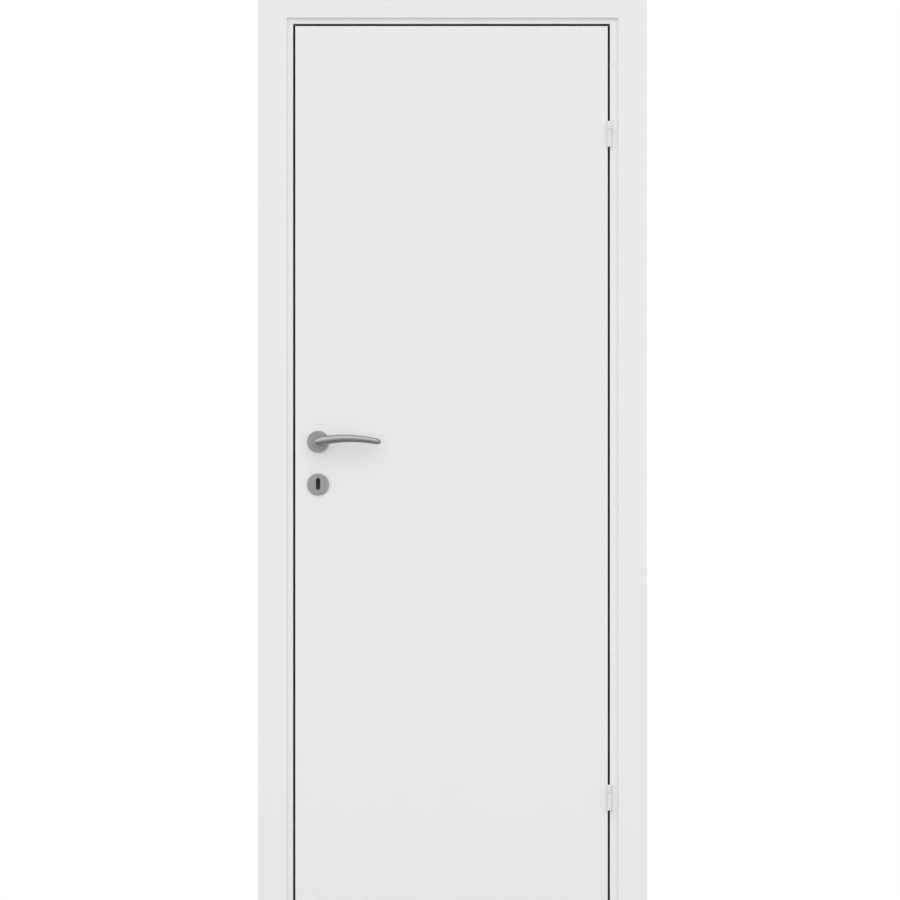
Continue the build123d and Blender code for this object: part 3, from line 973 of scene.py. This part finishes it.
@dataclass
class HandleSet:
    """The lever handles with their spindle, roses and key plates on both sides."""

    sides: tuple[str, ...] = ("front", "back")
    plates: tuple[str, ...] = ("handle_rose", "key_plate")
    neck_radius: float = 7.5 * MM
    grub_from_leaf: float = 16.0 * MM

    def centre(self, name: str) -> Triple:
        """The middle of a round plate."""
        low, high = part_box(name)
        return tuple((first + last) / 2 for first, last in zip(low, high))

    def dress(self, nodes: Nodes, lever: SatinSteel, plate: PlateSteel, zinc: bpy.types.Material) -> None:
        """Gives levers, roses and key plates their brushed steel.

        Args:
            nodes: the frame's objects by node name.
            lever: the levers' finish, the plates' steel painted darker.
            plate: the round plates' finish, to be centred on each pair.
            zinc: the spindle's material.
        """
        dress(nodes, [f"{side}_lever" for side in self.sides], lever.material())
        for kind in self.plates:
            finish = replace(plate, name=f"{plate.name} {kind}", centre=self.centre(f"front_{kind}"))
            dress(nodes, [f"{side}_{kind}" for side in self.sides], finish.material())
        dress(nodes, ["spindle"], zinc)

    def grub_places(self) -> list[Place]:
        """Where the levers' grub screws sit, under their necks."""
        centre = self.centre("front_handle_rose")
        down = Vector((0.0, 0.0, -1.0))
        depths = (
            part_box("front_face_panel")[0][1] - self.grub_from_leaf,
            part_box("back_face_panel")[1][1] + self.grub_from_leaf,
        )
        return [(Vector((centre[0], depth, centre[2] - self.neck_radius)), down) for depth in depths]


@dataclass
class Studio:
    """A pale floor that fades into white, soft key and fill lights, white surroundings and the camera."""

    image_middle: tuple[float, float] = (-0.0035, 1.074)
    image_plane_y: float = -0.0575
    image_width: float = 2.088
    lens: float = 800.0
    sensor: float = 36.0
    floor_half: float = 60.0
    clip_times: float = 10.0
    floor_colour: Colour = (0.43, 0.43, 0.43)
    floor_roughness: float = 0.9
    speckle_cells: float = 40.0
    speckle_spread: float = 0.03
    fade_centre: Triple = (0.0, -2.6, 0.0)
    fade_reach: tuple[float, float] = (4.6, 3.8)
    fade_start: float = 0.75
    key_strength: float = 0.41
    key_size: float = 50.0
    key_elevation: float = 37.0
    key_side: float = -4.0
    fill_strength: float = 60.0
    fill_size: tuple[float, float] = (8.0, 1.4)
    fill_place: Triple = (0.0, -7.0, 0.8)
    fill_aim: Triple = (0.0, 0.0, 0.2)

    def build(self) -> None:
        """Makes the surroundings, floor, lights and camera."""
        scene = bpy.context.scene
        scene.view_settings.view_transform = "Standard"
        self._surroundings(scene)
        self._floor(scene)
        self._key(scene)
        self._fill(scene)
        self._camera(scene)
        LOG.info("made the studio")

    def _surroundings(self, scene: bpy.types.Scene) -> None:
        """Even white all round."""
        world = bpy.data.worlds.new("white surroundings")
        world.use_nodes = True
        sheet = NodeSheet(world.node_tree)
        sheet.feed(world.node_tree.nodes["Background"], {"Color": WHITE, "Strength": 1.0})
        scene.world = world

    def _floor_material(self) -> bpy.types.Material:
        """Pale grey near the door, fading into the white of the surroundings.

        Returns:
            The floor's material.
        """
        material = bpy.data.materials.new("studio floor")
        material.use_nodes = True
        sheet = NodeSheet(material.node_tree)
        nodes = material.node_tree.nodes
        across, along, _ = sheet.axes(sheet.place(centre=self.fade_centre))
        across = across / self.fade_reach[0]
        along = along / self.fade_reach[1]
        reach = (across * across + along * along).root()
        path = sheet.node("ShaderNodeLightPath")
        seen = Wire(sheet, path.outputs["Is Camera Ray"])
        for ray in ("Is Glossy Ray", "Is Transmission Ray"):
            seen = seen.at_least(Wire(sheet, path.outputs[ray]))
        speckle = sheet.noise(sheet.place(), self.speckle_cells, detail=4.0)
        dark, light = (shade(self.floor_colour, 1.0 + sign * self.speckle_spread) for sign in (-1.0, 1.0))
        pale = sheet.blend(speckle, dark, light)
        sheet.feed(nodes["Principled BSDF"], {"Base Color": pale, "Roughness": self.floor_roughness})
        white = sheet.node("ShaderNodeEmission", None, {"Color": WHITE, "Strength": 1.0})
        share = reach.ease(self.fade_start, 1.0) * seen
        mixed = sheet.node(
            "ShaderNodeMixShader",
            None,
            {0: share, 1: nodes["Principled BSDF"].outputs[0], 2: white.outputs[0]},
        )
        sheet.feed(nodes["Material Output"], {"Surface": mixed.outputs[0]})
        return material

    def _floor(self, scene: bpy.types.Scene) -> None:
        """A wide flat floor under the door."""
        half = self.floor_half
        mesh = bpy.data.meshes.new("floor")
        corners = [(-half, -half, 0), (half, -half, 0), (half, half, 0), (-half, half, 0)]
        mesh.from_pydata(corners, [], [(0, 1, 2, 3)])
        mesh.materials.append(self._floor_material())
        floor = bpy.data.objects.new("floor", mesh)
        scene.collection.objects.link(floor)

    def _key(self, scene: bpy.types.Scene) -> None:
        """One broad soft light from above in front."""
        lamp = bpy.data.lights.new("key light", "SUN")
        lamp.energy = self.key_strength
        lamp.angle = math.radians(self.key_size)
        key = bpy.data.objects.new("key light", lamp)
        rise, side = math.radians(self.key_elevation), math.radians(self.key_side)
        towards = Vector((math.sin(side) * math.cos(rise), -math.cos(side) * math.cos(rise), math.sin(rise)))
        key.rotation_euler = towards.to_track_quat("Z", "Y").to_euler()
        scene.collection.objects.link(key)

    def _fill(self, scene: bpy.types.Scene) -> None:
        """A broad even light in front, which shows in no reflection."""
        lamp = bpy.data.lights.new("fill light", "AREA")
        lamp.shape = "RECTANGLE"
        lamp.size, lamp.size_y = self.fill_size
        lamp.energy = self.fill_strength
        fill = bpy.data.objects.new("fill light", lamp)
        fill.location = self.fill_place
        towards = Vector(self.fill_place) - Vector(self.fill_aim)
        fill.rotation_euler = towards.to_track_quat("Z", "Y").to_euler()
        fill.visible_glossy = False
        scene.collection.objects.link(fill)

    def _camera(self, scene: bpy.types.Scene) -> None:
        """A long lens straight in front of the door, framed as the photograph is."""
        data = bpy.data.cameras.new("camera")
        data.lens = self.lens
        data.sensor_width = self.sensor
        camera = bpy.data.objects.new("camera", data)
        distance = self.image_width * self.lens / self.sensor
        camera.location = (self.image_middle[0], self.image_plane_y - distance, self.image_middle[1])
        camera.rotation_euler = (math.radians(90.0), 0.0, 0.0)
        data.clip_end = self.clip_times * distance
        scene.collection.objects.link(camera)
        scene.camera = camera


def clear_start_scene() -> None:
    """Removes the objects that a new file starts with."""
    for start_object in list(bpy.data.objects):
        bpy.data.objects.remove(start_object, do_unlink=True)


def main() -> None:
    """Dresses the door set, adds its small hardware and sets up the studio."""
    logging.basicConfig(level=logging.INFO, format="%(name)s: %(message)s")
    clear_start_scene()
    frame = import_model()
    nodes = frame["nodes"]

    Studio().build()
    hinges = HingeSet()
    lock = LockSet()
    handles = HandleSet()
    lacquer = WhiteLacquer("white lacquer", colour=(0.84, 0.84, 0.838), roughness=0.42).material()
    front_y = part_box("front_face_panel")[0][1]
    coat = PowderCoat(
        "white powder coat",
        colour=(0.8, 0.8, 0.796),
        roughness=0.45,
        seam_heights=hinges.seams(),
        plate_front=front_y,
    ).material()
    zinc = ZincPlate("zinc plate", colour=(0.55, 0.56, 0.57), roughness=0.34).material()
    # The lock case's near-black lacquer is dark enough to paint the shade at the bottom of the keyhole slots,
    # where the case face shows.
    dark = DarkSteel("dark lacquered steel", colour=(0.06, 0.06, 0.065), roughness=0.5).material()
    # The seal's near-black rubber fills the back of the gaps round the leaf. Besides being the rubber's own
    # colour, it paints the shade deep in those gaps.
    rubber = Rubber("black rubber", colour=(0.025, 0.025, 0.026), roughness=0.7).material()
    board = ChipBoard("chip board", colour=(0.66, 0.5, 0.33), roughness=0.85).material()
    # The levers' steel is the plates' satin steel painted darker (0.32 against 0.35). It is a shaded copy of
    # the same steel that offsets the key light's highlight along the bar.
    lever_steel_painted_darker = SatinSteel("satin steel bar", colour=(0.32, 0.32, 0.32), roughness=0.2)
    plate_steel = PlateSteel(
        "satin steel plate", colour=(0.35, 0.35, 0.35), roughness=0.4, grain=Grain.UPRIGHT
    )

    FrameSet().dress(nodes, lacquer)
    LeafSet().dress(nodes, lacquer, board)
    hinges.dress(nodes, coat, zinc)
    lock.dress(nodes, zinc, dark)
    handles.dress(nodes, lever_steel_painted_darker, plate_steel, zinc)
    RebateSeal().build(rubber)

    leaf_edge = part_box("hinge_stile")[1][0]
    rebate = -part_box("strike_plate")[1][0]
    leaf_side = hinges.screw_places("leaf_half", leaf_edge, Vector((1.0, 0.0, 0.0)), front_y)
    frame_side = hinges.screw_places("frame_half", rebate, Vector((-1.0, 0.0, 0.0)), front_y)
    heads = {
        "head_radius": 4.0 * MM,
        "rise": 0.7 * MM,
        "recess_width": 3.6 * MM,
        "recess_depth": 1.1 * MM,
    }
    ScrewHeads("leaf_screws", Body.LEAF, Recess.CROSS, **heads).build(
        leaf_side + lock.forend_places(), zinc, Slot.ZINC
    )
    ScrewHeads("frame_screws", Body.FRAME, Recess.CROSS, **heads).build(
        frame_side + lock.strike_places(), zinc, Slot.ZINC
    )
    ScrewHeads(
        "grub_screws",
        Body.HANDLE,
        Recess.HEXAGON,
        head_radius=2.4 * MM,
        rise=0.5 * MM,
        recess_width=2.6 * MM,
        recess_depth=1.2 * MM,
    ).build(handles.grub_places(), zinc, Slot.ZINC)


if __name__ == "__main__":
    main()
